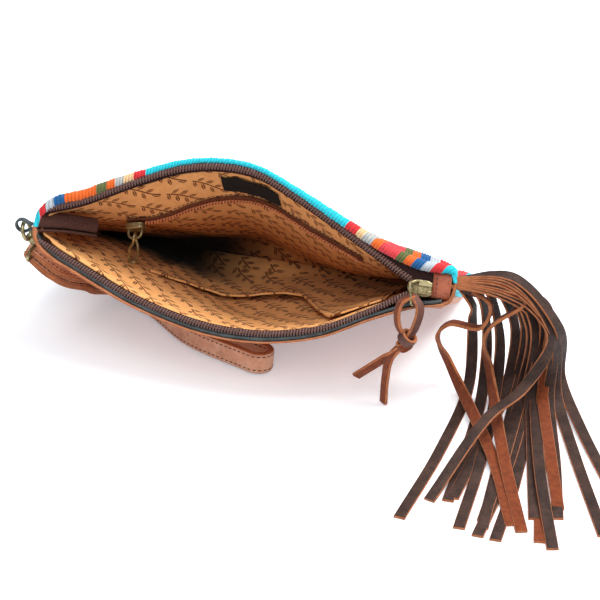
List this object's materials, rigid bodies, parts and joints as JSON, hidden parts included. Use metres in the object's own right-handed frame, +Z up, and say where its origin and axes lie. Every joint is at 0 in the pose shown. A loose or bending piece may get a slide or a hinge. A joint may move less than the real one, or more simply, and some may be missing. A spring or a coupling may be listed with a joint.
{
  "type": "leather wristlet",
  "caption": "Flat zip wristlet with a woven striped front, leather back, lined inside with pockets, a clip-on wrist strap and a leather fringe tassel, lying open.",
  "frame": {"origin": "centre of the whole object's box, on the surface it lies on", "axes": "+X along the mouth towards the tassel, +Y from the mouth towards the bag's closed base, +Z up"},
  "size_m": [0.3382, 0.2388, 0.1134],
  "materials": {
    "woven": "ribbed woven wool and cotton, striped",
    "leather": "natural tan leather, satin",
    "dark_leather": "dark brown grain with a rust suede reverse",
    "slate_leather": "slate grey leather, satin",
    "lining": "caramel cotton with a brown print",
    "zip_cloth": "dark brown woven tape",
    "zip_coil": "dark brown nylon coil",
    "pocket_cloth": "rust woven tape",
    "label_cloth": "black woven cloth",
    "brass": "antique brass, worn"
  },
  "bodies": {
    "bag": {"front_panel": "woven", "back_panel": "leather", "rim_facing": "slate_leather", "lining_front": "lining", "lining_back": "lining", "zip_tape_front": "zip_cloth", "zip_tape_back": "zip_cloth", "zip_coil_front": "zip_coil", "zip_coil_back": "zip_coil", "zip_slider": "brass", "slider_bail": "brass", "zip_thong": "dark_leather", "zip_end_tab": "leather", "zip_tail": "zip_cloth", "pocket_tape": "pocket_cloth", "pocket_coil": "pocket_cloth", "pocket_slider": "brass", "label_tab": "label_cloth", "slip_pocket": "lining", "side_loop": "leather", "snap_hook": "brass", "swivel_eye": "brass", "wrist_strap": "leather", "tassel_tab": "leather", "tassel": "dark_leather"},
    "pull": {"pocket_pull": "brass"}
  },
  "joints": [
    {"name": "pocket_pull_swing", "type": "hinge", "parent": "bag", "child": "pull", "pos_m": [-0.1109, 0.02186, 0.05828], "axis": [0.9785, 0.0272, 0.2043], "range_deg": [-100, 50]}
  ]
}
